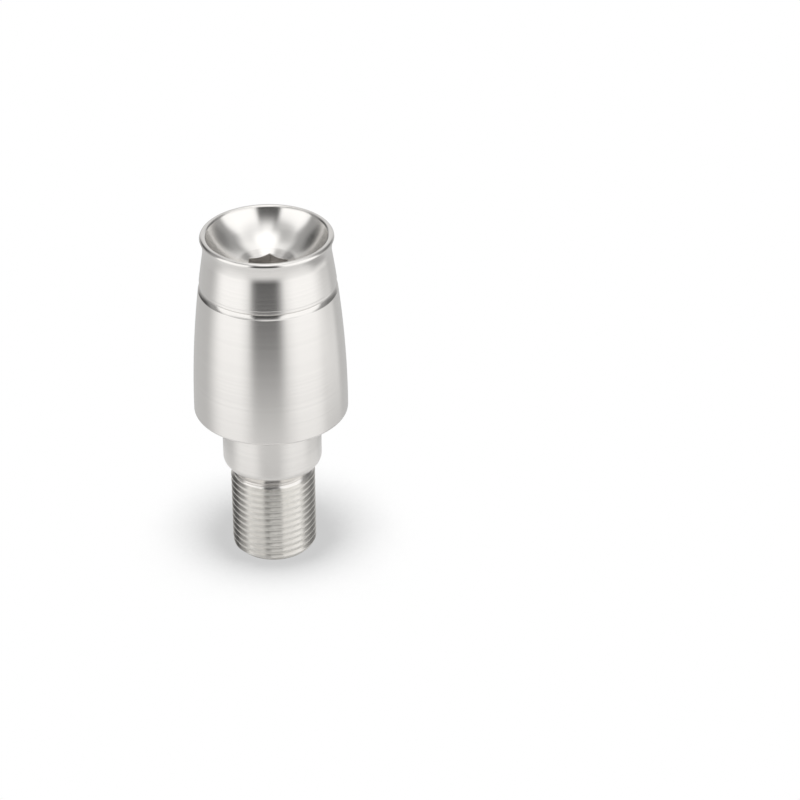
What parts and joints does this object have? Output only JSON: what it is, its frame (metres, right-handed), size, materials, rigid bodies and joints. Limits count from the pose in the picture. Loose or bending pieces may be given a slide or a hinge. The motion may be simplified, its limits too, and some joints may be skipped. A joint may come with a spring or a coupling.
{
  "type": "bar end weight",
  "caption": "Turned handlebar end weight with a dished head, hex socket, plain collar and threaded spigot.",
  "frame": {"origin": "middle of the flat end of the threaded spigot, on which the part stands", "axes": "+Z along the axis from the spigot to the dished head, a corner of the hex socket towards +Y"},
  "size_m": [0.0324, 0.0324, 0.0748],
  "materials": {
    "turned_metal": "finely turned stainless steel, satin outside and brighter in the dish"
  },
  "bodies": {
    "root": {"bar_end_weight": "turned_metal"}
  },
  "joints": []
}
